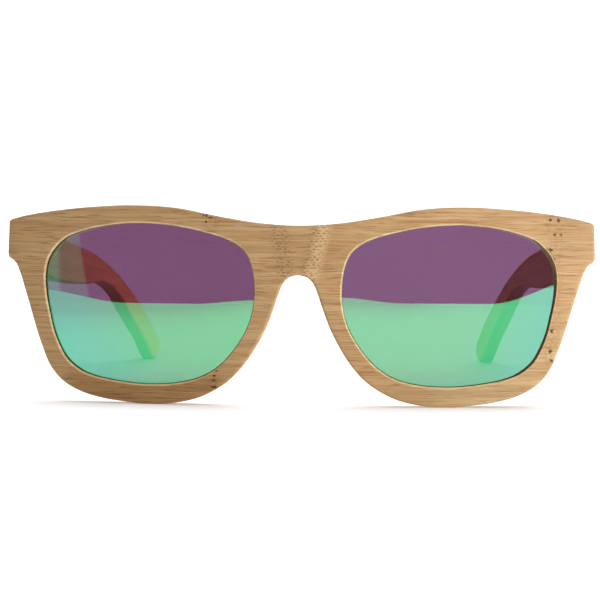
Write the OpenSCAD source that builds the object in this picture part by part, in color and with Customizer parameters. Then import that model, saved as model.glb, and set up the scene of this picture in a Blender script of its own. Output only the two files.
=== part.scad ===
// Bamboo sunglasses with sprung metal hinges.
// Millimetres. Z is up from the table, the front faces -Y, the temples run to +Y.
// "right" is the +X side, which is on the right as the front is looked at.

/* [Front] */
// half of the frame's width
half_w = 72.5; // [65:0.5:80]
// thickness of the bamboo front
front_t = 4.6; // [3.6:0.1:6]
// radius of the front's bow, seen from above
bow_r = 350; // [250:10:600]
// back face of the endpiece pads, behind the front's foremost line
pad_y = 13; // [12.5:0.1:15]
// how far the carved nose pads stand out behind the front
nose_t = 3.2; // [0:0.1:5]

/* [Lenses] */
// outer radius of the lens curve
lens_r = 130; // [88:1:260]
// lens thickness
lens_t = 1.8; // [1.1:0.1:2.4]
// how far the lens edge reaches into the rim
bevel = 0.7; // [0.4:0.1:1]
// foremost point of the lens, behind the front's foremost line
lens_y = 1.1; // [0.9:0.1:2.2]
// lean of the lens round the face, in degrees
lens_wrap = 6; // [0:0.5:12]
// gap round the lens in its groove
lens_gap = 0.05; // [0.02:0.01:0.2]

/* [Temples] */
// thickness of a temple
temple_t = 4.4; // [3.4:0.1:6]
// radius of a temple's inward curve
temple_r = 1135; // [600:5:2000]
// lean of a temple inwards at the hinge, in degrees
temple_in = 3; // [0:0.5:6]
// gap between the endpiece and the temple's end
butt_gap = 0.15; // [0.05:0.05:0.5]

/* [Hinges] */
// height of the hinge above the table
hinge_z = 40.6; // [39:0.1:42]
// pivot distance from the centre plane
pivot_x = 67; // [66:0.1:68]
// pivot distance behind the endpiece pad
pivot_back = 2.2; // [1.9:0.1:3]
// knuckle radius
knuckle_r = 1.5; // [1.2:0.1:1.8]
// hinge screw radius
screw_r = 0.7; // [0.5:0.05:0.9]
// slope of the spring housing along the temple, in degrees
slope = 7.6; // [0:0.1:10]
// push rod radius
rod_r = 0.6; // [0.4:0.05:0.8]
// spring wire radius
wire_r = 0.18; // [0.1:0.01:0.25]
// spring's mean coil radius
coil_r = 0.95; // [0.8:0.01:1.05]

/* [Hidden] */
$fn = 120;
y_mid = 75;
pivot_y = pad_y + pivot_back;
lens_cx = 36.8;
lens_cz = 24.6;
spring_y0 = 4.6;
spring_y1 = 13.06;

// ---- smooth curves through points: the first and last points only steer the ends
function _dt(a, b) = sqrt(max(norm(b - a), 0.0001));
function _cr(a, b, c, d, t) =
    let (t1 = _dt(a, b), t2 = t1 + _dt(b, c), t3 = t2 + _dt(c, d), u = t1 + t * (t2 - t1),
        p = (t1 - u) / t1 * a + u / t1 * b,
        q = (t2 - u) / (t2 - t1) * b + (u - t1) / (t2 - t1) * c,
        r = (t3 - u) / (t3 - t2) * c + (u - t2) / (t3 - t2) * d,
        m = (t2 - u) / t2 * p + u / t2 * q,
        n = (t3 - u) / (t3 - t1) * q + (u - t1) / (t3 - t1) * r)
    (t2 - u) / (t2 - t1) * m + (u - t1) / (t2 - t1) * n;
function run(P, n) = [for (i = [1 : len(P) - 3], j = [0 : n - 1]) _cr(P[i - 1], P[i], P[i + 1], P[i + 2], j / n)];
function loop(P, n) = let (k = len(P))
    [for (i = [0 : k - 1], j = [0 : n - 1]) _cr(P[(i + k - 1) % k], P[i], P[(i + 1) % k], P[(i + 2) % k], j / n)];
// moves a clockwise outline outwards by d
function grow(P, d) = let (k = len(P))
    [for (i = [0 : k - 1]) let (t = P[(i + 1) % k] - P[(i + k - 1) % k]) P[i] + d / norm(t) * [-t[1], t[0]]];
function flip(P) = [for (i = [len(P) - 1 : -1 : 0]) [-P[i][0], P[i][1]]];

// ---- outlines, seen from in front: x to the right, z up
brow = [[-10, 44.6], [0, 44], [10, 44.6], [20, 46.2], [30, 48.1], [40, 48.7], [50, 48.3], [60, 47.3], [68, 46],
    [70.4, 45.4], [71.7, 45], [half_w - 0.3, 44.4], [half_w - 0.25, 43.4], [half_w - 0.2, 41]];
side = [[half_w - 0.1, 40], [half_w, 37.2], [half_w, 36.4], [72.1, 35.5], [71.1, 34.9], [70.3, 33.9], [69.5, 32.1], [68.4, 28.8], [66.8, 23.6], [65.3, 18.6],
    [63.6, 13.7], [61.5, 8.9], [58.2, 5.2], [53.6, 2.7], [47.5, 1.1], [42, 0.4], [38, 0], [35, 0]];
nose = [[37, 0], [34, 0], [29.4, 0.5], [24.1, 1.8], [19.3, 4.2], [16.1, 6.6], [13, 10.1], [10.5, 13.9], [8, 18.7],
    [6.1, 23.6], [4.5, 28.2], [3.7, 29.9], [2.3, 31.3], [0, 31.9], [-2.3, 31.3]];
half_outline = concat(run(brow, 3), [[half_w - 0.25, 43.4]], run(side, 3), [[38, 0]], run(nose, 3));
outline = concat(half_outline, [[0, 31.9]], flip([for (i = [1 : len(half_outline) - 1]) half_outline[i]]));
eye = loop([[40.5, 44.3], [48.4, 43.5], [54.4, 42], [58, 40.4], [60.9, 37.5], [62.4, 34.6], [62.9, 31], [62.6, 26.8],
    [61.8, 22.6], [60.4, 17], [57.5, 11.1], [54.1, 8.2], [50.4, 6.7], [43.2, 5.4], [36.4, 4.9], [28.6, 5.5],
    [23.4, 7], [18.9, 9.9], [15.1, 14.3], [12.1, 19.6], [10.8, 25], [10.7, 29.6], [11.2, 33.4], [12.6, 37],
    [14.6, 39], [17.3, 40.5], [22, 42], [28.4, 43.4], [34, 44.1]], 3);

// temple seen from its side: distance behind the pivot, height
temple_top = [[-12, 45.8], [-4, 44.8], [15, 42.3], [35, 39.6], [50, 37.6], [62, 36], [74, 33.4], [85, 30.4], [95, 26.9],
    [105, 22.8], [115, 18.2], [123, 14], [129.4, 10], [133.8, 6.3], [135.1, 3.6], [134.2, 1.3], [132, 0.1], [131, 0], [128, 0]];
temple_low = [[131, 0], [128, 0], [125.2, 1.6], [119, 6.2], [112, 10.4], [105, 14.4], [98, 18.4], [92, 21.7], [86, 24.1],
    [80, 25.8], [73, 26.9], [65, 27.1], [55, 27], [45, 27.4], [35, 28.2], [25, 29], [15, 30.6], [5, 33.6], [-4, 37], [-12, 40]];
temple_side = concat(run(temple_top, 3), [[131, 0]], run(temple_low, 3), [[-4, 37]]);

// ---- helpers
module prism(P, y0, y1) translate([0, y1, 0]) rotate([90, 0, 0]) linear_extrude(y1 - y0) polygon(P);
module seat() translate([0, -y_mid, 0]) children();
module pair() { children(); mirror([1, 0, 0]) children(); }
module at_pivot() translate([pivot_x, pivot_y, 0]) rotate([0, 0, temple_in]) children();
module at_hinge() at_pivot() translate([0, 0, hinge_z]) rotate([-slope, 0, 0]) children();
module rod_y(r, y0, y1) translate([0, y1, 0]) rotate([90, 0, 0]) cylinder(r = r, h = y1 - y0);
module lens_ball(r) translate([lens_cx - lens_r * sin(lens_wrap), lens_y + lens_r * cos(lens_wrap), lens_cz]) sphere(r = r, $fn = 200);
module lens_body(edge, gap) intersection() {
    prism(grow(eye, edge), -1, 20);
    difference() { lens_ball(lens_r + gap); lens_ball(lens_r - lens_t - gap); }
}
// a wood screw pointing along +X from the outer side of its head at x = 0
module wood_screw(r, head_r, head_h, h, extra) rotate([0, 90, 0]) {
    cylinder(r = r + extra, h = h + extra);
    translate([0, 0, -extra]) cylinder(r1 = head_r + extra, r2 = r + extra, h = head_h + extra);
}
module screw_slot(w, d, l) translate([-1, -l, -w / 2]) cube([1 + d, 2 * l, w]);

// ---- front
module front_frame() color([0.80, 0.63, 0.42]) seat() difference() {
    intersection() {
        prism(outline, -1, 30);
        union() {
            difference() {
                translate([0, bow_r, -2]) cylinder(r = bow_r, h = 60, $fn = 360);
                translate([0, bow_r, -3]) cylinder(r = bow_r - front_t, h = 62, $fn = 360);
            }
            pair() translate([58.2, 9, 36.6]) cube([15, pad_y - 9, 14]);
            pair() intersection() {
                translate([11, front_t + nose_t - 14, 18.5]) sphere(r = 14, $fn = 160);
                translate([2, 2.5, 5]) cube([18, 10, 30]);
            }
        }
    }
    pair() prism(eye, -2, 31);
    pair() lens_body(bevel + lens_gap, lens_gap);
    pair() translate([62.27, pad_y - 0.83, hinge_z - 2.63]) cube([6.96, 2, 5.26]);
    pair() for (z = [-1.6, 1.6]) translate([63.5, pad_y, hinge_z + z]) rotate([0, 0, -90]) wood_screw(0.6, 1.1, 0.5, 4.6, 0.03);
}
module lens() color([0.25, 0.55, 0.45, 0.6]) seat() lens_body(bevel, 0);

// ---- hinge, front side
module hinge_leaf() color([0.72, 0.72, 0.74]) seat() difference() {
    union() {
        translate([62.3, pad_y - 0.8, hinge_z - 2.6]) cube([6.9, 0.8, 5.2]);
        for (z = [-2.4, 0.9]) {
            translate([pivot_x, pivot_y, hinge_z + z]) cylinder(r = knuckle_r, h = 1.5);
            translate([pivot_x - knuckle_r, pad_y - 0.4, hinge_z + z]) cube([2 * knuckle_r, pivot_back + 0.4, 1.5]);
        }
    }
    translate([pivot_x, pivot_y, hinge_z - 5]) cylinder(r = screw_r + 0.02, h = 10);
    for (z = [-1.6, 1.6]) translate([63.5, pad_y, hinge_z + z]) rotate([0, 0, -90]) wood_screw(0.6, 1.1, 0.5, 4.6, 0.02);
}
module leaf_screws() color([0.62, 0.62, 0.64]) seat() for (z = [-1.6, 1.6]) translate([63.5, pad_y, hinge_z + z]) rotate([0, 0, -90])
    difference() { wood_screw(0.6, 1.1, 0.5, 4.6, 0); screw_slot(0.25, 0.25, 2); }
module hinge_screw() color([0.62, 0.62, 0.64]) seat() translate([pivot_x, pivot_y, hinge_z]) difference() {
    union() {
        translate([0, 0, -2.4]) cylinder(r = screw_r, h = 5);
        translate([0, 0, 2.42]) cylinder(r = 1.15, h = 0.58);
    }
    translate([-2, -0.13, 2.75]) cube([4, 0.26, 1]);
}

// ---- hinge, temple side
module spring_slider() color([0.70, 0.70, 0.72]) seat() difference() {
    union() {
        at_pivot() translate([0, 0, hinge_z - 0.85]) cylinder(r = knuckle_r, h = 1.7);
        at_hinge() translate([-0.7, 0, -0.6]) cube([1.4, 2.05, 1.2]);
        at_hinge() rod_y(rod_r, 1.5, 14.8);
    }
    at_pivot() translate([0, 0, hinge_z - 3]) cylinder(r = screw_r + 0.03, h = 6);
}
module slider_nut() color([0.66, 0.60, 0.42]) seat() at_hinge() difference() {
    rod_y(1.1, spring_y1, spring_y1 + 1.1);
    rod_y(rod_r + 0.02, 10, 20);
}
coil_p = 0.5;
coil_tilt = atan(coil_p / (2 * coil_r));
module half_turn(i) translate([0, 0, coil_p * (i + 0.5)]) rotate([0, 0, 180 * i]) rotate([0, coil_tilt, 0])
    rotate_extrude(angle = 180, $fn = 48) translate([coil_r / cos(coil_tilt), 0]) circle(r = wire_r, $fn = 24);
module two_turns(k) union() {
    union() { half_turn(k); half_turn(k + 1); }
    union() { half_turn(k + 2); half_turn(k + 3); }
}
module coil_spring() color([0.55, 0.56, 0.58]) seat() at_hinge()
    translate([0, spring_y0 + wire_r + 0.05, 0]) rotate([-90, 0, 0]) {
        union() { two_turns(0); two_turns(4); }
        union() { two_turns(8); two_turns(12); }
    }
module temple() color([0.80, 0.63, 0.42]) seat() difference() {
    at_pivot() intersection() {
        translate([-20, 0, 0]) rotate([90, 0, 90]) linear_extrude(40) polygon(temple_side);
        difference() {
            translate([0.6 - temple_r, 0, -2]) cylinder(r = temple_r + temple_t, h = 60, $fn = 720);
            translate([0.6 - temple_r, 0, -3]) cylinder(r = temple_r, h = 62, $fn = 720);
        }
    }
    translate([40, pad_y + butt_gap - 20, -1]) cube([60, 20, 60]);
    at_pivot() translate([-4, -6, hinge_z - 2.75]) cube([5.9, 7.6, 6.05]);
    at_pivot() translate([0, 0, hinge_z - 2.75]) cylinder(r = 2.1, h = 6.05);
    at_hinge() translate([-4, -3, -1.95]) cube([5.65, 25.65, 3.9]);
    at_hinge() translate([-4, 22.65, 0]) rotate([0, 90, 0]) cylinder(r = 1.95, h = 5.65);
    at_hinge() for (y = [18.4, 22.4]) translate([0.35, y, 0]) wood_screw(0.55, 1.05, 0.5, 3.6, 0.03);
}
module spring_housing() color([0.74, 0.74, 0.76]) seat() at_hinge() difference() {
    union() {
        translate([-1.6, 2.1, -1.9]) cube([3.2, 14.1, 3.8]);
        translate([0.35, 15, -1.9]) cube([1.25, 7.65, 3.8]);
        translate([0.35, 22.65, 0]) rotate([0, 90, 0]) cylinder(r = 1.9, h = 1.25);
    }
    rod_y(rod_r + 0.05, 1, 5);
    rod_y(1.25, spring_y0, 15.2);
    translate([0, spring_y0, -1.25]) cube([3, 15.2 - spring_y0, 2.5]);
    for (y = [18.4, 22.4]) translate([0.35, y, 0]) wood_screw(0.55, 1.05, 0.5, 3.6, 0.02);
}
module housing_screws() color([0.62, 0.62, 0.64]) seat() at_hinge() for (y = [18.4, 22.4]) translate([0.35, y, 0])
    difference() { wood_screw(0.55, 1.05, 0.5, 3.6, 0); screw_slot(0.22, 0.22, 2); }

front_frame();
lens();  // lens_right
mirror([1, 0, 0]) lens();  // lens_left
hinge_leaf();  // hinge_leaf_right
mirror([1, 0, 0]) hinge_leaf();  // hinge_leaf_left
leaf_screws();  // leaf_screws_right
mirror([1, 0, 0]) leaf_screws();  // leaf_screws_left
hinge_screw();  // hinge_screw_right
mirror([1, 0, 0]) hinge_screw();  // hinge_screw_left
spring_slider();  // spring_slider_right
mirror([1, 0, 0]) spring_slider();  // spring_slider_left
slider_nut();  // slider_nut_right
mirror([1, 0, 0]) slider_nut();  // slider_nut_left
coil_spring();  // coil_spring_right
mirror([1, 0, 0]) coil_spring();  // coil_spring_left
temple();  // temple_right
mirror([1, 0, 0]) temple();  // temple_left
spring_housing();  // spring_housing_right
mirror([1, 0, 0]) spring_housing();  // spring_housing_left
housing_screws();  // housing_screws_right
mirror([1, 0, 0]) housing_screws();  // housing_screws_left
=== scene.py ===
import math

import bmesh
import bpy
import numpy as np
from mathutils import Matrix, Quaternion, Vector
from mathutils.geometry import delaunay_2d_cdt


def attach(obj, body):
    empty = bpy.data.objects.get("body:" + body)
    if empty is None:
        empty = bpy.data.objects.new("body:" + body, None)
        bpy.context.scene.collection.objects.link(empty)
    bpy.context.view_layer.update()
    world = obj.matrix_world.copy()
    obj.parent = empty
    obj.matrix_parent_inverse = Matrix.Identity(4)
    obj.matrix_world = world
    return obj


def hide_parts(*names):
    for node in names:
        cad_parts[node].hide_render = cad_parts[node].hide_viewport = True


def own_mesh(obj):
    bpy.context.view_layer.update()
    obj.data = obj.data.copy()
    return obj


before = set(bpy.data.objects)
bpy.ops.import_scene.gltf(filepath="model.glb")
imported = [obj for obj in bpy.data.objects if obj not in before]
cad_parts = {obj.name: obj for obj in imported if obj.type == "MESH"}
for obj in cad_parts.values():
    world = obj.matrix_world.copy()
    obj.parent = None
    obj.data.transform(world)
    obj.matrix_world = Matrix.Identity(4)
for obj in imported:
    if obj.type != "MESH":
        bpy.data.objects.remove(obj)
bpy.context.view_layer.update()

scene = bpy.context.scene
MM = 0.001
Y_MID = 75.0          # the front's foremost line is this far in front of the row's origin
RAD = math.pi / 180

# ------------------------------------------------------------------ curves
def cr(a, b, c, d, t):
    """A point of the smooth curve between b and c."""
    def dt(p, q):
        return math.sqrt(max(float(np.linalg.norm(q - p)), 1e-4))
    t1 = dt(a, b)
    t2 = t1 + dt(b, c)
    t3 = t2 + dt(c, d)
    u = t1 + t * (t2 - t1)
    p = (t1 - u) / t1 * a + u / t1 * b
    q = (t2 - u) / (t2 - t1) * b + (u - t1) / (t2 - t1) * c
    r = (t3 - u) / (t3 - t2) * c + (u - t2) / (t3 - t2) * d
    m = (t2 - u) / t2 * p + u / t2 * q
    n = (t3 - u) / (t3 - t1) * q + (u - t1) / (t3 - t1) * r
    return (t2 - u) / (t2 - t1) * m + (u - t1) / (t2 - t1) * n


def run(P, n=10):
    """An open curve: the first and last points only steer its ends."""
    P = [np.array(p, float) for p in P]
    return [cr(P[i - 1], P[i], P[i + 1], P[i + 2], j / n) for i in range(1, len(P) - 2) for j in range(n)]


def loop(P, n=10):
    P = [np.array(p, float) for p in P]
    k = len(P)
    return [cr(P[i - 1], P[i], P[(i + 1) % k], P[(i + 2) % k], j / n) for i in range(k) for j in range(n)]


def even(P, step):
    """A closed outline with its points at even distances."""
    P = np.asarray(P, float)
    Q = np.vstack([P, P[:1]])
    s = np.concatenate([[0], np.cumsum(np.linalg.norm(np.diff(Q, axis=0), axis=1))])
    n = max(12, int(round(s[-1] / step)))
    t = np.linspace(0, s[-1], n, endpoint=False)
    return np.column_stack([np.interp(t, s, Q[:, k]) for k in (0, 1)])


def inward(P):
    """Unit normals that point into a closed outline."""
    t = np.roll(P, -1, 0) - np.roll(P, 1, 0)
    n = np.column_stack([-t[:, 1], t[:, 0]])
    n /= np.maximum(np.linalg.norm(n, axis=1), 1e-9)[:, None]
    area = np.sum(P[:, 0] * np.roll(P[:, 1], -1) - np.roll(P[:, 0], -1) * P[:, 1])
    return n if area > 0 else -n


def smooth(x, a, b):
    t = np.clip((np.asarray(x, float) - a) / (b - a), 0, 1)
    return t * t * (3 - 2 * t)


def inside(points, loops):
    """Which points lie in the region that the loops bound, holes left out."""
    found = np.zeros(len(points), bool)
    x, y = points[:, 0], points[:, 1]
    for P in loops:
        Q = np.roll(P, -1, 0)
        for (x0, y0), (x1, y1) in zip(P, Q):
            if y0 == y1:
                continue
            hit = ((y0 > y) != (y1 > y)) & (x < (x1 - x0) * (y - y0) / (y1 - y0) + x0)
            found ^= hit
    return found


# ------------------------------------------------------------------ meshes
def plate(outer, holes, low, high, r_low, r_high, place, gap=1.6, steps=6, face=0.3, lean=None, groove=None, fine=None):
    """A closed solid between two surfaces inside an outline, all its edges rounded.
    low and high give the surfaces' depth at points of the outline's plane, r_low and r_high the edge radius
    (outline points, True for a hole). place turns points and depths into metres, and lean moves the low points
    of a hole by their depth. groove gives more rings for a hole's wall, and fine more points for the
    high face. Returns vertices, faces and each face's side: 0 for the low face, 1 for the edge, 2 for the high face,
    3 for the rounding of a hole's low edge."""
    verts, faces, sides = [], [], []
    count = 0
    caps = [[], []]
    for n_loop, P in enumerate([outer, *holes]):
        hole = n_loop > 0
        n = -inward(P) if hole else inward(P)
        rings = []
        for side, surface, radius in ((0, low, r_low), (1, high, r_high)):
            r = np.asarray(radius(P, hole), float) * np.ones(len(P))
            ring = [(P + n * (r + face)[:, None], np.zeros(len(P)))]
            for k in range(steps + 1):
                a = k / steps * math.pi / 2
                ring.append((P + n * (r * (1 - math.sin(a)))[:, None], r * (1 - math.cos(a))))
            if hole and lean and side == 0:
                ring = [(lean(Q, e), e) for Q, e in ring]
            ring = [(Q, surface(Q) + (e if side == 0 else -e)) for Q, e in ring]
            rings += ring if side == 0 else ring[::-1]
            if side == 0 and hole and groove:
                rings += groove(P, n)
        start = count
        for Q, d in rings:
            verts.append(place(Q, d))
            count += len(Q)
        k = len(P)
        for i in range(len(rings) - 1):
            for j in range(k):
                a, b = start + i * k + j, start + i * k + (j + 1) % k
                faces.append((a, b, b + k, a + k))
                sides.append(0 if i == 0 else 2 if i == len(rings) - 2 else 3 if hole and i <= steps else 1)
        caps[0].append((rings[0][0], start))
        caps[1].append((rings[-1][0], start + (len(rings) - 1) * k))
    for which, surface in ((0, low), (1, high)):
        loops = [Q for Q, _ in caps[which]]
        edge = np.vstack(loops)
        lo, hi = edge.min(0), edge.max(0)
        gx, gy = np.meshgrid(np.arange(lo[0] + gap / 2, hi[0], gap), np.arange(lo[1] + gap / 2, hi[1], gap * 0.87))
        gx = gx + (np.arange(gx.shape[0]) % 2)[:, None] * gap / 2
        grid = np.column_stack([gx.ravel(), gy.ravel()])
        grid = grid[inside(grid, loops)]
        near = np.array([np.min(np.sum((edge - g) ** 2, 1)) for g in grid]) if len(grid) else np.zeros(0)
        grid = grid[near > (0.55 * gap) ** 2] if len(grid) else grid
        if which == 1 and fine is not None:
            more = fine[inside(fine, loops)]
            more = more[np.array([np.min(np.sum((edge - g) ** 2, 1)) for g in more]) > 0.2 ** 2]
            grid = grid[np.array([np.min(np.sum((more - g) ** 2, 1)) for g in grid]) > 0.5 ** 2]
            grid = np.vstack([grid, more])
        points = np.vstack([edge, grid])
        lines, at, own = [], 0, []
        for Q, first in caps[which]:
            lines += [(at + j, at + (j + 1) % len(Q)) for j in range(len(Q))]
            own += list(range(first, first + len(Q)))
            at += len(Q)
        verts.append(place(grid, surface(grid)))
        own += list(range(count, count + len(grid)))
        count += len(grid)
        made = delaunay_2d_cdt([Vector(p) for p in points], lines, [], 0, 1e-7, True)
        tri = np.array([f for f in made[2]], int)
        source = np.array([ids[0] if len(ids) else -1 for ids in made[3]], int)
        middles = np.array([np.mean([made[0][v] for v in f], axis=0) for f in tri])
        tri = tri[inside(middles, loops)]
        # each edge of an outline has one triangle: of two, the sliver goes
        rims, users = {tuple(sorted(e)) for e in lines}, {}
        for k, f in enumerate(source[tri]):
            for a, b in ((f[0], f[1]), (f[1], f[2]), (f[2], f[0])):
                if tuple(sorted((a, b))) in rims:
                    users.setdefault(tuple(sorted((a, b))), []).append(k)
        spans = points[source[tri]]
        (ux, uy), (vx, vy) = (spans[:, 1] - spans[:, 0]).T, (spans[:, 2] - spans[:, 0]).T
        area = np.abs(ux * vy - uy * vx)
        slivers = {min(ks, key=lambda k: area[k]) for ks in users.values() if len(ks) > 1}
        for f in (f for k, f in enumerate(tri) if k not in slivers):
            ids = [own[source[v]] for v in f]
            faces.append(tuple(ids) if which == 0 else tuple(ids[::-1]))
            sides.append(0 if which == 0 else 2)
    return np.vstack(verts), faces, sides


def mesh_object(name, verts, faces):
    me = bpy.data.meshes.new(name)
    me.from_pydata([tuple(v) for v in verts], [], faces)
    bm = bmesh.new()
    bm.from_mesh(me)
    bmesh.ops.recalc_face_normals(bm, faces=bm.faces[:])
    bm.to_mesh(me)
    bm.free()
    me.polygons.foreach_set("use_smooth", np.ones(len(me.polygons), bool))
    me.update()
    ob = bpy.data.objects.new(name, me)
    scene.collection.objects.link(ob)
    return ob


def sharpen(me, angle):
    """Smooth faces, with a crease at each edge that turns more than the angle."""
    bm = bmesh.new()
    bm.from_mesh(me)
    for f in bm.faces:
        f.smooth = True
    for e in bm.edges:
        e.smooth = not (len(e.link_faces) == 2 and e.calc_face_angle(0.0) > angle)
    bm.to_mesh(me)
    bm.free()
    me.update()


def cut(ob, cutters):
    """Takes closed meshes out of an object."""
    for verts, faces in cutters:
        tool = mesh_object("cutter", verts, faces)
        mod = ob.modifiers.new("cut", "BOOLEAN")
        mod.operation, mod.solver, mod.object = "DIFFERENCE", "EXACT", tool
        dg = bpy.context.evaluated_depsgraph_get()
        made = bpy.data.meshes.new_from_object(ob.evaluated_get(dg))
        ob.modifiers.clear()
        old, ob.data = ob.data, made
        bpy.data.meshes.remove(old)
        data = tool.data
        bpy.data.objects.remove(tool)
        bpy.data.meshes.remove(data)


# ------------------------------------------------------------------ the outlines, in millimetres
HALF = 72.5
BROW = [(-10, 44.6), (0, 44), (10, 44.6), (20, 46.2), (30, 48.1), (40, 48.7), (50, 48.3), (60, 47.3), (68, 46),
        (70.4, 45.4), (71.7, 45), (HALF - 0.3, 44.4), (HALF - 0.25, 43.4), (HALF - 0.2, 41)]
SIDE = [(HALF - 0.1, 40), (HALF, 37.2), (HALF, 36.4), (72.1, 35.5), (71.1, 34.9), (70.3, 33.9), (69.5, 32.1), (68.4, 28.8),
        (66.8, 23.6), (65.3, 18.6),
        (63.6, 13.7), (61.5, 8.9), (58.2, 5.2), (53.6, 2.7), (47.5, 1.1), (42, 0.4), (38, 0), (35, 0)]
NOSE = [(37, 0), (34, 0), (29.4, 0.5), (24.1, 1.8), (19.3, 4.2), (16.1, 6.6), (13, 10.1), (10.5, 13.9), (8, 18.7),
        (6.1, 23.6), (4.5, 28.2), (3.7, 29.9), (2.3, 31.3), (0, 31.9), (-2.3, 31.3)]
EYE = [(40.5, 44.3), (48.4, 43.5), (54.4, 42), (58, 40.4), (60.9, 37.5), (62.4, 34.6), (62.9, 31), (62.6, 26.8),
       (61.8, 22.6), (60.4, 17), (57.5, 11.1), (54.1, 8.2), (50.4, 6.7), (43.2, 5.4), (36.4, 4.9), (28.6, 5.5),
       (23.4, 7), (18.9, 9.9), (15.1, 14.3), (12.1, 19.6), (10.8, 25), (10.7, 29.6), (11.2, 33.4), (12.6, 37),
       (14.6, 39), (17.3, 40.5), (22, 42), (28.4, 43.4), (34, 44.1)]
TEMPLE_TOP = [(-12, 45.8), (-4, 44.8), (15, 42.3), (35, 39.6), (50, 37.6), (62, 36), (74, 33.4), (85, 30.4), (95, 26.9),
              (105, 22.8), (115, 18.2), (123, 14), (129.4, 10), (133.8, 6.3), (135.1, 3.6), (134.2, 1.3), (132, 0.1),
              (131, 0), (128, 0)]
TEMPLE_LOW = [(131, 0), (128, 0), (125.2, 1.6), (119, 6.2), (112, 10.4), (105, 14.4), (98, 18.4), (92, 21.7), (86, 24.1),
              (80, 25.8), (73, 26.9), (65, 27.1), (55, 27), (45, 27.4), (35, 28.2), (25, 29), (15, 30.6), (5, 33.6),
              (-4, 37), (-12, 40)]

half = run(BROW) + [np.array([HALF - 0.25, 43.4])] + run(SIDE) + [np.array([38.0, 0])] + run(NOSE)
outline = half + [np.array([0, 31.9])] + [np.array([-p[0], p[1]]) for p in half[:0:-1]]
outline = even(outline, 0.4)
outline[:, 1] = np.minimum(outline[:, 1], 48.69)
eye = even(loop(EYE), 0.4)
eye_left = eye[::-1] * [-1, 1]

# ------------------------------------------------------------------ front
BOW, FRONT_T = 350.0, 4.6
LENS_R, LENS_T, LENS_Y = 130.0, 1.8, 1.1
lens_mid = np.array([36.8 - LENS_R * math.sin(6 * RAD), LENS_Y + LENS_R * math.cos(6 * RAD), 24.6])


def lens_depth(r, twist=0.0, lean=0.0):
    """A sphere, with a slight lean and a slight twist at the nose."""
    return lambda P: (lens_mid[1] - np.sqrt(r ** 2 - (P[:, 0] - lens_mid[0]) ** 2 - (P[:, 1] - lens_mid[2]) ** 2)
                      - (lean + twist * smooth(P[:, 0], 25, 11)) * (P[:, 1] - lens_mid[2]))


def front_low(P):
    return BOW - np.sqrt(BOW ** 2 - P[:, 0] ** 2)


def front_high(P):
    x, z = np.abs(P[:, 0]), P[:, 1]
    back = BOW - np.sqrt((BOW - FRONT_T) ** 2 - x ** 2)
    pad = smooth(x, 57.5, 58.9) * smooth(z, 35.9, 37.3)
    back = back + pad * np.maximum(12.96 - back, 0)
    far = (x - 11) ** 2 + (z - 18.5) ** 2
    dome = FRONT_T + 3.2 - 14 + np.sqrt(np.maximum(14.0 ** 2 - far, 0))
    dome = np.where(far < 13 ** 2, dome, -20)
    k = 2.0
    h = np.clip(0.5 + 0.5 * (dome - back) / k, 0, 1)
    blend = back * (1 - h) + dome * h + k * h * (1 - h)
    return np.where(far < 14 ** 2, np.maximum(blend - 0.05, back), back)


def front_edge(P, hole):
    return 0.4 if hole else 0.6


def back_edge(P, hole):
    if hole:
        return 0.5
    return 0.9 - 0.6 * smooth(np.abs(P[:, 0]), 61, 64) * smooth(P[:, 1], 34.5, 37)


def front_lean(P, e):
    """In front of the lenses the walls of the eye holes stand square to the bowed face."""
    return P - np.column_stack([P[:, 0] * e / BOW, np.zeros(len(P))])


def eye_groove(P, n):
    """The groove that a lens sits in, a little wider than the lens."""
    rings = []
    for r, gap, deep in ((LENS_R, -0.34, 0.0), (LENS_R, -0.30, 0.8), (LENS_R - LENS_T, 0.12, 0.8), (LENS_R - LENS_T, 0.16, 0.0)):
        Q = P + n * deep
        d = lens_depth(r)(np.abs(Q)) + gap
        rings.append((front_lean(Q, d - front_low(Q)) if gap < 0 else Q, d))
    return rings


def pad_points():
    """Close points along the steps where the endpiece pads begin."""
    made = [(x, z) for x in np.arange(57.4, 59.1, 0.2) for z in np.arange(39.0, 48.5, 0.4)]
    made += [(x, z) for z in np.arange(35.8, 37.5, 0.2) for x in np.arange(59.4, 72.5, 0.4)]
    made = np.array(made)
    return np.vstack([made, made * [-1, 1]])


def front_place(P, d):
    return np.column_stack([P[:, 0], d - Y_MID, P[:, 1]]) * MM


v, f, s = plate(outline, [eye, eye_left], front_low, front_high, front_edge, back_edge, front_place, gap=1.4, lean=front_lean,
                groove=eye_groove, fine=pad_points())
front = mesh_object("front_frame_bamboo", v, f)
sharpen(front.data, 40 * RAD)
front_sides = np.array(s)

# ------------------------------------------------------------------ lenses
lens_line = even(eye - inward(eye) * 0.55, 0.6)
lenses = []
for side, sign, twist, lean in (("right", 1, 0.011, 0.0), ("left", -1, 0.0085, -0.005)):
    v, f, s = plate(lens_line, [], lens_depth(LENS_R, twist, lean), lens_depth(LENS_R - LENS_T, twist, lean), lambda P, h: 0.2, lambda P, h: 0.2,
                    front_place, gap=1.3, steps=3, face=0.2)
    ob = mesh_object("lens_shell_" + side, v * [sign, 1, 1], f)
    lenses.append((ob, side, [0 if k < 2 else 1 for k in s]))

# ------------------------------------------------------------------ temples
PIVOT_X, PIVOT_Y, HINGE_Z = 67.0, 15.2, 40.6
TEMPLE_R, TEMPLE_T, LEAN, SLOPE = 1135.0, 4.4, 3 * RAD, 7.6 * RAD


def clip_left(P, s0):
    """The part of a closed outline at or past s0."""
    out = []
    for a, b in zip(P, np.roll(P, -1, 0)):
        if a[0] >= s0:
            out.append(a)
        if (a[0] >= s0) != (b[0] >= s0):
            out.append(a + (b - a) * (s0 - a[0]) / (b[0] - a[0]))
    return np.array(out)


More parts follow.
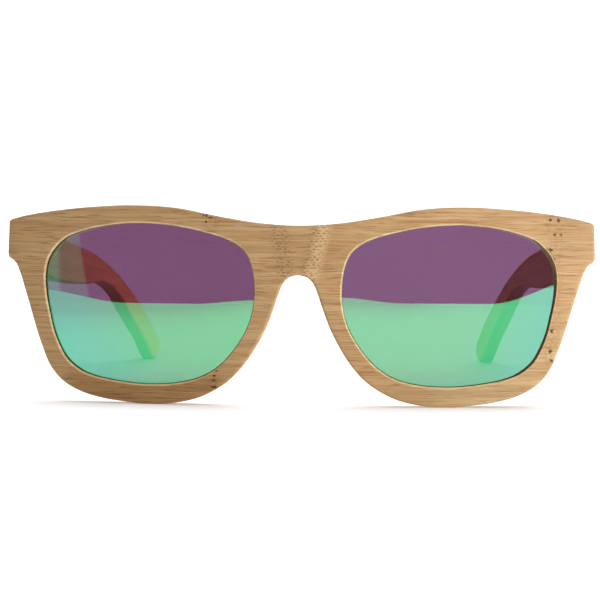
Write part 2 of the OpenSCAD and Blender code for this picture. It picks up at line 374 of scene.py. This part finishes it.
def ease_ends(P, s0, r):
    """Rounds the two corners of an outline that lie on s0."""
    ends = [p for p in P if abs(p[0] - s0) < 1e-6]
    P = np.array([p for p in P if abs(p[0] - s0) < 1e-6 or min(np.linalg.norm(p - e) for e in ends) > 1.2 * r])
    out = []
    for a, b, c in zip(np.roll(P, 1, 0), P, np.roll(P, -1, 0)):
        if abs(b[0] - s0) < 1e-6:
            p, q = b + (a - b) / np.linalg.norm(a - b) * r, b + (c - b) / np.linalg.norm(c - b) * r
            out += [p * (1 - t) ** 2 + b * 2 * t * (1 - t) + q * t ** 2 for t in np.linspace(0, 1, 9)]
        else:
            out.append(b)
    return np.array(out)


profile = run(TEMPLE_TOP) + [np.array([131.0, 0])] + run(TEMPLE_LOW) + [np.array([-4.0, 37])]
profile = even(ease_ends(clip_left(np.array(profile), -2.05), -2.05, 0.9), 0.42)


def temple_edge(P, hole):
    return 0.28 + 0.57 * smooth(P[:, 0], -1.2, 6.0) + 0.65 * smooth(P[:, 0], 95, 128)


def to_row(x, s, z):
    """From the temple's own frame at the pivot to the row."""
    return np.column_stack([PIVOT_X + x * math.cos(LEAN) - s * math.sin(LEAN),
                            PIVOT_Y + x * math.sin(LEAN) + s * math.cos(LEAN) - Y_MID, z]) * MM


def temple_place(P, d):
    s, z = P[:, 0], P[:, 1]
    x = 0.6 - TEMPLE_R + np.sqrt((TEMPLE_R + d) ** 2 - s ** 2)
    return to_row(x, s - x * math.tan(LEAN) * (1 - smooth(s, -2.0, 5.0)), z)


def prism(outline, h0, h1, axis):
    """A closed prism along x or z from its outline in the other two axes."""
    n = len(outline)
    rows = []
    for h in (h0, h1):
        k = np.full(n, float(h))
        rows.append(np.column_stack([outline[:, 0], outline[:, 1], k] if axis == "z" else [k, outline[:, 0], outline[:, 1]]))
    return np.vstack(rows), [tuple(range(n))[::-1], tuple(range(n, 2 * n))] + [(i, (i + 1) % n, n + (i + 1) % n, n + i) for i in range(n)]


def arc(x, y, r, a0, a1, n=16):
    a = np.linspace(a0, a1, n + 1) * RAD
    return np.column_stack([x + r * np.cos(a), y + r * np.sin(a)])


def tilt(v):
    """From the hinge's sloping frame to the temple's own."""
    y, z = v[:, 1], v[:, 2]
    return np.column_stack([v[:, 0], y * math.cos(SLOPE) + z * math.sin(SLOPE), HINGE_Z - y * math.sin(SLOPE) + z * math.cos(SLOPE)])


temples = []
for side, sign in (("right", 1), ("left", -1)):
    v, f, s = plate(profile, [], lambda P: np.zeros(len(P)), lambda P: np.full(len(P), TEMPLE_T), temple_edge, temple_edge,
                    temple_place, gap=1.7)
    ob = mesh_object("temple_bamboo_" + side, v * [sign, 1, 1], f)
    bend = math.degrees(math.acos(1.9 / 2.1)), math.degrees(math.asin(1.6 / 2.1))
    notch = np.vstack([[(-4, -6), (1.9, -6)], arc(0, 0, 2.1, -bend[0], bend[0], 8), [(1.9, 1.6)], arc(0, 0, 2.1, bend[1], 180 - bend[1], 12), [(-4, 1.6)]])
    nv, nf = prism(notch, HINGE_Z - 2.75, HINGE_Z + 3.3, "z")
    pocket = np.vstack([[(-3, -1.95)], arc(22.65, 0, 1.95, -90, 90, 24), [(-3, 1.95)]])
    pv, pf = prism(pocket, -4, 1.65, "x")
    tools = [(to_row(*nv.T) * [sign, 1, 1], nf), (to_row(*tilt(pv).T) * [sign, 1, 1], pf)]
    cut(ob, tools)
    sharpen(ob.data, 38 * RAD)
    temples.append((ob, side))

# ------------------------------------------------------------------ springs
def coil(sign, turns=8, r=0.95, wire=0.18, y0=4.83, pitch=1.0, seg=28, around=10):
    n = turns * seg + 1
    a = np.arange(n) / seg * 2 * math.pi
    mid = np.column_stack([r * np.cos(a), y0 + pitch * a / (2 * math.pi), r * np.sin(a)])
    tan = np.gradient(mid, axis=0)
    tan /= np.linalg.norm(tan, axis=1)[:, None]
    out = np.column_stack([np.cos(a), np.zeros(n), np.sin(a)])
    up = np.cross(tan, out)
    b = np.arange(around) / around * 2 * math.pi
    rings = mid[:, None] + wire * (np.cos(b)[None, :, None] * out[:, None] + np.sin(b)[None, :, None] * up[:, None])
    v = rings.reshape(-1, 3)
    f = [(i * around + j, i * around + (j + 1) % around, (i + 1) * around + (j + 1) % around, (i + 1) * around + j)
         for i in range(n - 1) for j in range(around)]
    f += [tuple(range(around))[::-1], tuple(range((n - 1) * around, n * around))]
    return to_row(*tilt(v).T) * [sign, 1, 1], f


springs = []
for side, sign in (("right", 1), ("left", -1)):
    v, f = coil(sign)
    ob = mesh_object("spring_coil_" + side, v, f)
    sharpen(ob.data, 50 * RAD)
    springs.append((ob, side, sign))


# ------------------------------------------------------------------ materials
class Nodes:
    """A node tree under construction."""

    def __init__(self, name, kind="material"):
        self.owner = (bpy.data.materials if kind == "material" else bpy.data.worlds).new(name)
        self.owner.use_nodes = True
        self.tree = self.owner.node_tree
        self.tree.nodes.clear()

    def add(self, kind, inputs=None, **settings):
        node = self.tree.nodes.new(kind)
        for k, value in settings.items():
            setattr(node, k, value)
        for k, value in (inputs or {}).items():
            self.put(node.inputs[k], value)
        return node

    def put(self, socket, value):
        if isinstance(value, bpy.types.NodeSocket):
            self.tree.links.new(value, socket)
        elif isinstance(value, bpy.types.Node):
            self.tree.links.new(value.outputs[0], socket)
        else:
            socket.default_value = value

    def math(self, op, a, b=0.0, c=0.0, clamp=False):
        return self.add("ShaderNodeMath", {0: a, 1: b, 2: c}, operation=op, use_clamp=clamp).outputs[0]

    def step(self, x, a, b, lo=0.0, hi=1.0):
        return self.add("ShaderNodeMapRange", {0: x, 1: a, 2: b, 3: lo, 4: hi}, interpolation_type="SMOOTHSTEP").outputs[0]

    def noise(self, vector, scale, detail=2.0, rough=0.5, dims="3D"):
        return self.add("ShaderNodeTexNoise", {"Vector": vector, "Scale": scale, "Detail": detail, "Roughness": rough},
                        noise_dimensions=dims).outputs["Fac"]

    def mix(self, fac, a, b, kind="MIX"):
        node = self.add("ShaderNodeMix", data_type="RGBA", blend_type=kind)
        self.put(node.inputs[0], fac)
        self.put(node.inputs[6], a)
        self.put(node.inputs[7], b)
        return node.outputs[2]

    def scaled(self, vector, x, y, z):
        return self.add("ShaderNodeVectorMath", {0: vector, 1: (x, y, z)}, operation="MULTIPLY").outputs[0]

    def split(self, vector):
        return self.add("ShaderNodeSeparateXYZ", {0: vector}).outputs

    def out(self, shader, kind="ShaderNodeOutputMaterial"):
        self.tree.links.new(shader.outputs[0] if isinstance(shader, bpy.types.Node) else shader,
                            self.add(kind).inputs["Surface"])
        return self.owner


def bamboo(name, tone, turn=0.0, origin=(0.0, 0.0, 0.0), bow=1 / 700, drop=0.0, marks=False, painted_under_shade=False):
    """Bamboo with its fibres along the piece: the row's points are moved to the piece's origin, turned, and
    laid flat where the piece is bowed. marks adds the node rings of the front, with painted light on its lower
    right and painted shade on its lower left, and the last flag paints shade on the faces of a temple that look
    downwards."""
    t = Nodes(name)

    def c(r, g, b):
        return (r * tone[0], g * tone[1], b * tone[2], 1)

    where = t.add("ShaderNodeTexCoord").outputs["Object"]
    mm = t.scaled(where, 1000, 1000, 1000)
    x, y, z = t.split(mm)
    local = t.add("ShaderNodeVectorRotate", {"Vector": mm, "Center": origin, "Rotation": (0.0, 0.0, turn)}, rotation_type="EULER_XYZ").outputs[0]
    local = t.add("ShaderNodeVectorMath", {0: local, 1: origin}, operation="SUBTRACT").outputs[0]
    along, deep, high = t.split(local)
    deep = t.math("MULTIPLY_ADD", t.math("MULTIPLY", along, along), -bow, deep)
    high = t.math("MULTIPLY_ADD", along, drop, high)
    flat = t.add("ShaderNodeCombineXYZ", {0: along, 1: deep, 2: high}).outputs[0]
    # a slow waver keeps the fibres from being ruled lines
    waver = t.noise(t.scaled(flat, 0.03, 0.10, 0.10), 1.0, 1.0)
    shift = t.add("ShaderNodeCombineXYZ", {0: 0.0, 1: t.math("MULTIPLY_ADD", waver, 1.4, -0.7), 2: t.math("MULTIPLY_ADD", waver, 1.6, -0.8)})
    g = t.add("ShaderNodeVectorMath", {0: flat, 1: shift.outputs[0]}, operation="ADD").outputs[0]
    bands = t.noise(t.scaled(g, 0.016, 0.36, 0.36), 1.0, 2.0)
    layer = t.noise(t.scaled(g, 0.028, 1.0, 1.15), 1.0, 3.0, 0.6)
    fine = t.noise(t.scaled(g, 0.06, 2.4, 2.8), 1.0, 2.0, 0.6)
    tick = t.noise(t.scaled(g, 0.17, 2.6, 3.4), 1.0, 1.0, 0.5)

    colour = t.mix(t.step(layer, 0.34, 0.66), c(0.415, 0.241, 0.103), c(0.535, 0.344, 0.169))
    colour = t.mix(t.math("MULTIPLY", t.step(bands, 0.42, 0.66), 0.5), colour, c(0.490, 0.280, 0.106))
    colour = t.mix(t.math("MULTIPLY", t.step(fine, 0.46, 0.33), 0.52), colour, c(0.325, 0.158, 0.054))
    colour = t.mix(t.math("MULTIPLY", t.step(fine, 0.57, 0.71), 0.42), colour, c(0.610, 0.415, 0.220))
    strong = t.step(tick, 0.58, 0.68)
    colour = t.mix(t.math("MULTIPLY", strong, 0.58), colour, c(0.262, 0.116, 0.036))
    depth = t.math("ADD", t.math("MULTIPLY", fine, 0.6), t.math("MULTIPLY", strong, -0.5))

    if marks:
        # painted light and shade: the lower right is painted paler, where the light falls on it, and the lower left rim
        # browner, where it lies in shade; the upper right end is a little darker
        painted_light_low_right = t.math("MULTIPLY", t.step(x, 26.0, 40.0), t.step(z, 26.0, 9.0))
        colour = t.mix(painted_light_low_right, colour, (1.05, 1.13, 1.19, 1), "MULTIPLY")
        end = t.math("MULTIPLY", t.step(x, 58.0, 66.0), t.step(z, 33.0, 39.0))
        colour = t.mix(end, colour, (0.89, 0.90, 0.88, 1), "MULTIPLY")
        # painted shade: the lower left rim is browned where shade falls on it
        low = t.math("MULTIPLY", t.step(z, 11.0, 5.0), t.step(x, -13.0, -22.0))
        colour = t.mix(t.math("MULTIPLY", low, t.step(x, -62.0, -54.0)), colour, (0.76, 0.68, 0.57, 1), "MULTIPLY")
        # two rows of pores cross the bridge and draw together downwards, with a pale streak beside one of them
        up = t.math("SUBTRACT", z, 33.0)
        wob = t.math("MULTIPLY_ADD", t.noise(t.scaled(mm, 0.0, 0.0, 0.5), 1.0, 1.0), 1.6, -0.8)
        row = t.math("FLOOR", t.math("MULTIPLY", z, 1.55))
        odd = t.math("MULTIPLY", t.math("FRACT", t.math("MULTIPLY", row, 0.5)), 1.3)
        laid = t.add("ShaderNodeCombineXYZ", {0: t.math("MULTIPLY", t.math("ADD", x, odd), 0.77), 1: t.math("MULTIPLY", z, 1.55), 2: 0.0})
        cells = t.add("ShaderNodeTexVoronoi", {"Vector": laid.outputs[0], "Scale": 1.0, "Randomness": 0.55}, feature="F1", voronoi_dimensions="2D")
        pore = t.step(cells.outputs["Distance"], 0.42, 0.22)
        pore = t.math("MULTIPLY", pore, t.step(t.noise(t.scaled(mm, 0.7, 0.3, 1.3), 1.0, 1.0), 0.24, 0.44))
        on_bridge = t.step(z, 29.0, 31.5)
        for mid, slope, width, dark, shade in ((-3.1, -0.18, 3.1, 0.60, 0.22), (3.0, 0.23, 3.3, 0.64, 0.0)):
            off = t.math("SUBTRACT", x, t.math("MULTIPLY_ADD", up, slope, mid))
            off = t.math("ABSOLUTE", t.math("ADD", off, wob))
            band = t.math("MULTIPLY", t.step(off, width, width * 0.35), on_bridge)
            if shade:
                colour = t.mix(t.math("MULTIPLY", band, shade), colour, c(0.36, 0.217, 0.097))
            else:
                pale = t.math("SUBTRACT", x, t.math("MULTIPLY_ADD", up, 0.25, 3.7))
                pale = t.math("ABSOLUTE", t.math("ADD", pale, wob))
                pale = t.math("MULTIPLY", t.step(pale, 2.7, 0.6), on_bridge)
                colour = t.mix(t.math("MULTIPLY", pale, 0.62), colour, c(0.70, 0.475, 0.245))
            colour = t.mix(t.math("MULTIPLY", t.math("MULTIPLY", band, pore), dark), colour, c(0.19, 0.097, 0.037))
        # long dark fibres: in the right brow, beside the left node and left of the bridge
        for mid, half, level, thick in ((35.5, 12.0, 45.1, 0.30), (-17.3, 3.8, 44.8, 0.36), (-18.0, 3.2, 43.8, 0.24), (-7.6, 2.4, 36.0, 0.20), (-7.6, 2.2, 35.2, 0.22),
                                        (-7.8, 2.6, 31.6, 0.20), (8.0, 2.0, 33.0, 0.22), (9.0, 2.4, 38.4, 0.22)):
            ends = t.step(t.math("ABSOLUTE", t.math("SUBTRACT", x, mid)), half, half * 0.55)
            line = t.step(t.math("ABSOLUTE", t.math("ADD", t.math("SUBTRACT", z, level), t.math("MULTIPLY", wob, 0.1))), thick, thick * 0.3)
            colour = t.mix(t.math("MULTIPLY", t.math("MULTIPLY", ends, line), 0.62), colour, c(0.33, 0.145, 0.045))
        # two more nodes: dark pores in a ragged line at the right end, and across the left rim
        line = None
        warp = t.add("ShaderNodeTexNoise", {"Vector": mm, "Scale": 1.7, "Detail": 2.0, "Roughness": 0.6}).outputs["Color"]
        warp_x, warp_y, warp_z = t.split(warp)
        sx = t.math("ADD", x, t.math("MULTIPLY_ADD", warp_x, 1.1, -0.55))
        sz = t.math("ADD", z, t.math("MULTIPLY_ADD", warp_z, 0.8, -0.4))
        for px, pz, wide, tall in ((61.2, 45.8, 0.55, 0.25), (63.2, 45.7, 0.50, 0.45), (62.3, 42.2, 0.45, 0.40), (63.8, 42.3, 0.36, 0.34),
                                   (60.3, 38.8, 0.40, 0.30), (61.3, 38.5, 0.60, 0.42), (62.4, 36.3, 0.45, 0.22), (61.9, 18.7, 0.45, 0.50),
                                   (61.6, 13.8, 0.48, 0.42), (62.0, 11.4, 0.42, 0.38), (-20.0, 8.5, 0.65, 0.28), (-20.2, 7.3, 0.42, 0.34),
                                   (-20.4, 6.2, 0.50, 0.30), (-20.4, 4.6, 0.85, 0.32), (-23.2, 46.3, 0.25, 0.40), (-22.4, 46.3, 0.28, 0.36),
                                   (-21.4, 45.8, 0.70, 0.24), (-22.6, 44.8, 0.35, 0.25)):
            ax = t.math("MULTIPLY", t.math("SUBTRACT", sx, px), 1.0 / wide)
            az = t.math("MULTIPLY", t.math("SUBTRACT", sz, pz), 1.0 / tall)
            far = t.math("ADD", t.math("MULTIPLY", ax, ax), t.math("MULTIPLY", az, az))
            spot = t.step(far, 1.5, 0.35)
            line = spot if line is None else t.math("MAXIMUM", line, spot)
        ragged = t.step(t.noise(t.scaled(mm, 2.6, 2.6, 2.6), 1.0, 2.0, 0.6), 0.34, 0.52)
        near_node = t.math("MAXIMUM", t.step(t.math("ABSOLUTE", t.math("SUBTRACT", x, 62.2)), 3.6, 1.2),
                           t.math("MULTIPLY", t.step(t.math("ABSOLUTE", t.math("ADD", x, 21.0)), 3.2, 0.8), 0.8))
        scales = t.add("ShaderNodeTexVoronoi", {"Vector": t.scaled(mm, 0.75, 0.4, 1.0), "Scale": 1.0, "Randomness": 0.9}, feature="DISTANCE_TO_EDGE")
        seam = t.math("MULTIPLY", t.step(scales.outputs["Distance"], 0.16, 0.02), near_node)
        colour = t.mix(t.math("MULTIPLY", seam, 0.30), colour, c(0.27, 0.130, 0.046))
        colour = t.mix(t.math("MULTIPLY", t.math("MULTIPLY", line, t.math("MULTIPLY_ADD", ragged, 0.35, 0.65)), 0.95), colour, c(0.045, 0.020, 0.008))
        depth = t.math("SUBTRACT", depth, t.math("MULTIPLY", line, 0.8))

    if painted_under_shade:
        # painted shade: the faces of a temple that look downwards, past its front end, are darkened where shade falls
        nx, ny, nz = t.split(t.add("ShaderNodeTexCoord").outputs["Normal"])
        below = t.math("MULTIPLY", t.step(nz, -0.30, -0.72), t.step(along, 4.0, 9.0))
        colour = t.mix(below, colour, (0.46, 0.43, 0.37, 1), "MULTIPLY")

    rough = t.math("MULTIPLY_ADD", fine, 0.22, 0.42)
    bump = t.add("ShaderNodeBump", {"Strength": 0.35, "Distance": 0.00006, "Height": depth})
    skin = t.add("ShaderNodeBsdfPrincipled", {"Base Color": colour, "Roughness": rough, "Normal": bump.outputs[0],
                                              "Specular IOR Level": 0.3})
    return t.out(skin)


def metal(name, colour, dark, rough, brushed):
    """Metal with fine brushed lines; brushed is the number of lines to a millimetre along each axis."""
    t = Nodes(name)
    where = t.add("ShaderNodeTexCoord").outputs["Object"]
    mm = t.scaled(where, 1000, 1000, 1000)
    lines = t.noise(t.scaled(mm, *brushed), 1.0, 2.0, 0.5)
    cloud = t.noise(mm, 0.25, 1.0)
    tone = t.mix(t.step(t.math("MULTIPLY_ADD", lines, 0.75, t.math("MULTIPLY", cloud, 0.25)), 0.30, 0.70), dark, colour)
    r = t.math("MULTIPLY_ADD", lines, 0.10, rough - 0.05)
    bump = t.add("ShaderNodeBump", {"Strength": 0.10, "Distance": 0.00001, "Height": lines})
    return t.out(t.add("ShaderNodeBsdfPrincipled", {"Base Color": tone, "Metallic": 1.0, "Roughness": r, "Normal": bump.outputs[0]}))


def mirror_coat():
    """The mirror film on the front of a lens: it shines green, bluer where it is seen aslant."""
    t = Nodes("lens_mirror_film")
    where = t.add("ShaderNodeTexCoord").outputs["Object"]
    cloud = t.noise(t.scaled(where, 45, 45, 45), 1.0, 2.0)
    aslant = t.add("ShaderNodeLayerWeight", {"Blend": 0.5}).outputs["Facing"]
    film = t.mix(t.step(aslant, 0.012, 0.11), (0.026, 0.400, 0.128, 1), (0.001, 0.400, 0.225, 1))
    film = t.mix(t.math("MULTIPLY", t.step(cloud, 0.3, 0.7), 0.10), film, (0.028, 0.415, 0.162, 1))
    film = t.mix(t.add("ShaderNodeNewGeometry").outputs["Backfacing"], film, (0.01, 0.03, 0.03, 1))
    shine = t.add("ShaderNodeBsdfGlossy", {"Color": film, "Roughness": 0.012})
    clear = t.add("ShaderNodeBsdfTransparent", {"Color": t.mix(cloud, (0.440, 0.300, 0.424, 1), (0.432, 0.294, 0.416, 1))})
    return t.out(t.add("ShaderNodeAddShader", {0: clear.outputs[0], 1: shine.outputs[0]}))


def lens_inner(name, clear):
    """The tinted body of a lens, with a plain gloss towards the eye."""
    t = Nodes(name)
    where = t.add("ShaderNodeTexCoord").outputs["Object"]
    cloud = t.noise(t.scaled(where, 60, 60, 60), 1.0, 2.0)
    r, g, b = clear
    tint = t.mix(t.step(cloud, 0.25, 0.75), (0.418 * r, 0.278 * g, 0.400 * b, 1), (0.408 * r, 0.271 * g, 0.390 * b, 1))
    shine = t.add("ShaderNodeBsdfGlossy", {"Color": t.mix(cloud, (0.036, 0.036, 0.038, 1), (0.042, 0.042, 0.044, 1)), "Roughness": 0.012})
    through = t.add("ShaderNodeBsdfTransparent", {"Color": tint})
    return t.out(t.add("ShaderNodeAddShader", {0: through.outputs[0], 1: shine.outputs[0]}))


bamboo_front = bamboo("bamboo_front", (0.92, 0.92, 0.92), marks=True)
# painted highlight: a paler copy of the bamboo for the rounded front edges of the eye holes that face the light
bamboo_edge = bamboo("bamboo_painted_edge_highlight", (1.26, 1.42, 1.70))
# painted shade: a darker copy for the rounded front edge on the outer side of the right eye hole, which faces away from
# the light
bamboo_shade = bamboo("bamboo_edge_shade", (0.34, 0.30, 0.28))
bamboo_temple = {}
for side, sign in (("right", 1), ("left", -1)):
    lie = (-(90 + 3 * sign) * RAD, (67.0 * sign, -59.8, 0.0), sign / 2270, 0.13)
    # painted shade: the right temple's bamboo is a darker copy of the left one's, as the right temple lies in shade
    tone = (0.68, 0.65, 0.65) if sign > 0 else (0.80, 0.80, 0.80)
    bamboo_temple[side] = bamboo("bamboo_temple_" + side, tone, *lie, painted_under_shade=True)
film = mirror_coat()
inner = {"right": lens_inner("lens_tint_right", (1.545, 1.232, 1.160)), "left": lens_inner("lens_tint_left", (1.315, 0.952, 0.933))}
leaf_steel = metal("leaf_steel", (0.66, 0.66, 0.67, 1), (0.56, 0.56, 0.58, 1), 0.30, (0.4, 12.0, 12.0))
housing_steel = metal("housing_steel", (0.66, 0.66, 0.67, 1), (0.56, 0.56, 0.58, 1), 0.30, (12.0, 0.4, 12.0))
screw_steel = metal("screw_steel", (0.60, 0.59, 0.58, 1), (0.50, 0.50, 0.50, 1), 0.24, (7.0, 7.0, 7.0))
spring_steel = metal("spring_steel", (0.50, 0.51, 0.53, 1), (0.40, 0.41, 0.43, 1), 0.24, (6.0, 6.0, 6.0))
brass = metal("nut_brass", (0.72, 0.55, 0.25, 1), (0.60, 0.45, 0.19, 1), 0.30, (5.0, 5.0, 5.0))


def wear(ob, *mats):
    ob.data.materials.clear()
    for m in mats:
        ob.data.materials.append(m)


# ------------------------------------------------------------------ the pieces take their places
wear(front, bamboo_front, bamboo_edge, bamboo_shade)
# the rounded front edges of the eye holes get painted light and shade: the paler copy where they face the light, the
# darker copy on the right hole's outer side, which faces away from it; other edges facing away keep the plain bamboo
edge_slots = []
for k, face in zip(front_sides, front.data.polygons):
    if k != 3:
        edge_slots.append(0)
    elif face.normal.x < -0.30:
        edge_slots.append(2 if face.center.x > 0.045 else 0)
    else:
        edge_slots.append(1)
front.data.polygons.foreach_set("material_index", np.array(edge_slots, np.int32))
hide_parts("front_frame")
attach(front, "front")
for ob, side, index in lenses:
    wear(ob, film, inner[side])
    ob.data.polygons.foreach_set("material_index", np.array(index, np.int32))
    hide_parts("lens_" + side)
    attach(ob, "front")
for ob, side in temples:
    wear(ob, bamboo_temple[side])
    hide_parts("temple_" + side)
    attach(ob, "temple_" + side)
for ob, side, sign in springs:
    wear(ob, spring_steel)
    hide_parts("coil_spring_" + side)
    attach(ob, "temple_" + side)
    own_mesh(ob)

def ease(ob, width):
    """Takes the sharpness off a metal piece's edges."""
    weld = ob.modifiers.new("weld", "WELD")
    weld.merge_threshold = 1e-6
    flat = ob.modifiers.new("flat", "DECIMATE")
    flat.decimate_type, flat.angle_limit = "DISSOLVE", 1.0 * RAD
    bevel = ob.modifiers.new("bevel", "BEVEL")
    bevel.width, bevel.segments, bevel.limit_method, bevel.angle_limit = width * MM, 2, "ANGLE", 40 * RAD
    bevel.use_clamp_overlap, bevel.harden_normals = True, False
    even_out = ob.modifiers.new("normals", "WEIGHTED_NORMAL")
    even_out.keep_sharp = False


for name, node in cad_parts.items():
    if name.startswith("hinge_leaf"):
        mat = leaf_steel
        ease(node, 0.10)
    elif name.startswith(("spring_housing", "spring_slider")):
        mat = housing_steel
        ease(node, 0.14 if name.startswith("spring_housing") else 0.08)
    elif name.startswith(("leaf_screws", "hinge_screw", "housing_screws")):
        mat = screw_steel
        ease(node, 0.05)
    elif name.startswith("slider_nut"):
        mat = brass
        ease(node, 0.08)
    elif name.startswith("coil_spring"):
        mat = spring_steel
    elif name.startswith("lens"):
        mat = film
    else:
        mat = bamboo_front if name == "front_frame" else bamboo_temple[name.rsplit("_", 1)[1]]
    wear(node, mat)

# ------------------------------------------------------------------ floor, light and camera
COOL = (0.82, 1.0, 1.08, 1)          # the white of the table and the room behind, through a lens


def floor():
    t = Nodes("floor_white")
    where = t.add("ShaderNodeTexCoord").outputs["Object"]
    cloud = t.noise(t.scaled(where, 3, 3, 3), 1.0, 2.0)
    tone = t.mix(cloud, (0.86, 0.86, 0.86, 1), (0.88, 0.88, 0.88, 1))
    # a light table: it glows a little, and lights the front left less
    fx, fy, fz = t.split(where)
    near = t.step(t.math("MULTIPLY_ADD", fx, 1.3, fy), -0.75, -0.1)
    path = t.add("ShaderNodeLightPath").outputs
    near = t.math("MAXIMUM", near, path["Is Camera Ray"])
    tone = t.mix(near, (0.72, 0.72, 0.72, 1), tone)
    # through a lens it is a cool white, without the burnt-out part
    glass = t.math("MULTIPLY", path["Is Camera Ray"], path["Transparent Depth"], clamp=True)
    tone = t.mix(glass, tone, (0.508, 0.62, 0.67, 1))
    glow = t.math("MULTIPLY", near, t.math("MULTIPLY_ADD", glass, -0.085, 0.30))
    return t.out(t.add("ShaderNodeBsdfPrincipled", {"Base Color": tone, "Roughness": 0.9, "Specular IOR Level": 0.0,
                                                    "Emission Color": t.mix(glass, (1, 1, 1, 1), COOL), "Emission Strength": glow}))


FLOOR_FRONT = -0.655
me = bpy.data.meshes.new("floor")
me.from_pydata([(-1.6, FLOOR_FRONT, 0), (1.6, FLOOR_FRONT, 0), (1.6, 6.0, 0), (-1.6, 6.0, 0)], [], [(0, 1, 2, 3)])
ground = bpy.data.objects.new("floor", me)
scene.collection.objects.link(ground)
me.materials.append(floor())


def lamp(name, at, to, size, power, colour=(1, 1, 1), spread=180):
    data = bpy.data.lights.new(name, "AREA")
    data.shape, data.size, data.energy, data.color, data.spread = "DISK", size, power, colour, spread * RAD
    ob = bpy.data.objects.new(name, data)
    ob.location = at
    ob.rotation_mode = "QUATERNION"
    ob.rotation_quaternion = (Vector(to) - Vector(at)).to_track_quat("-Z", "Y")
    scene.collection.objects.link(ob)
    return ob


key = lamp("key", (0.36, -0.27, 0.07), (0.0, -0.05, 0.03), 0.16, 0.34, (1.0, 0.985, 0.96), 80)
# the key lights the glasses only, so the floor stays even
key.light_linking.receiver_collection = bpy.data.collections.new("not_the_floor")
key.light_linking.receiver_collection.objects.link(ground)
key.light_linking.receiver_collection.collection_objects[0].light_linking.link_state = "EXCLUDE"
fill = lamp("fill", (0.40, 0.06, 0.13), (-0.06, 0.0, 0.03), 0.14, 1.67, (1.0, 0.80, 0.59))
fill.light_linking.receiver_collection = bpy.data.collections.new("left_temple")
fill.light_linking.receiver_collection.objects.link(temples[1][0])
sun = bpy.data.lights.new("overhead", "SUN")
sun.energy, sun.angle = 2.25, 60 * RAD
sun_ob = bpy.data.objects.new("overhead", sun)
sun_ob.rotation_mode = "QUATERNION"
sun_ob.rotation_quaternion = Vector((-0.12, -0.14, -0.95)).to_track_quat("-Z", "Y")
scene.collection.objects.link(sun_ob)

w = Nodes("studio", "world")
path = w.add("ShaderNodeLightPath")
dx, dy, dz = w.split(w.add("ShaderNodeTexCoord").outputs["Generated"])


def lerp(fac, a, b):
    node = w.add("ShaderNodeMix", data_type="FLOAT")
    for k, value in ((0, fac), (2, a), (3, b)):
        w.put(node.inputs[k], value)
    return node.outputs[0]


# in front of the glasses the lenses mirror a dark room over the pale table, whose sides turn up, and a pale screen at its left
around = w.math("ARCTAN2", w.math("MULTIPLY", dx, -1.0), w.math("MULTIPLY", dy, -1.0))
rim = w.math("ADD", w.step(around, 25 * RAD, 48 * RAD, -1.85 * RAD, 0.85 * RAD), w.step(around, -25 * RAD, -48 * RAD, 0.0, 5.5 * RAD))
below = w.step(w.math("SUBTRACT", dz, rim), 0.1 * RAD, -0.1 * RAD)
screen = w.step(w.math("MULTIPLY_ADD", dz, -0.27, around), 34.6 * RAD, 35.4 * RAD)
bright = w.step(w.math("MULTIPLY_ADD", dz, -0.13, around), 41.6 * RAD, 43.6 * RAD)
room = w.math("MULTIPLY_ADD", screen, w.math("MULTIPLY_ADD", bright, 0.22, 0.16), 0.012)
table = w.math("ADD", w.step(around, 32 * RAD, -4 * RAD, 0.82, 0.93), w.step(around, -4 * RAD, -15 * RAD, 0.0, 0.31))
table = w.math("ADD", table, w.step(around, -24 * RAD, -38 * RAD, 0.0, 0.06))
mirrored = lerp(w.step(dy, -0.10, 0.25), lerp(below, room, table), 0.9)
soft = w.step(dy, -0.25, 0.35, 0.07, 1.10)
light = lerp(path.outputs["Is Glossy Ray"], soft, mirrored)
seen = w.math("MAXIMUM", light, w.math("MULTIPLY", path.outputs["Is Camera Ray"], 1.40))
glass = w.math("MULTIPLY", path.outputs["Is Camera Ray"], path.outputs["Transparent Depth"], clamp=True)
seen = lerp(glass, seen, 1.0)
back = w.add("ShaderNodeBackground", {"Color": w.mix(glass, (1, 1, 1, 1), COOL), "Strength": seen})
scene.world = w.out(back, "ShaderNodeOutputWorld")
scene.view_settings.view_transform = "Standard"

cam = bpy.data.cameras.new("camera")
cam.sensor_width, cam.lens = 36.0, 99.1
cam.clip_start, cam.clip_end = 0.01, 50
eye_ob = bpy.data.objects.new("camera", cam)
scene.collection.objects.link(eye_ob)
eye_ob.location = (0.0177, -0.4746, 0.0428)
yaw, pitch = 2.457 * RAD, 2.41 * RAD
ahead = Vector((-math.sin(yaw) * math.cos(pitch), math.cos(yaw) * math.cos(pitch), -math.sin(pitch)))
eye_ob.rotation_mode = "QUATERNION"
eye_ob.rotation_quaternion = ahead.to_track_quat("-Z", "Y") @ Quaternion((0, 0, 1), 0.45 * RAD)
scene.camera = eye_ob
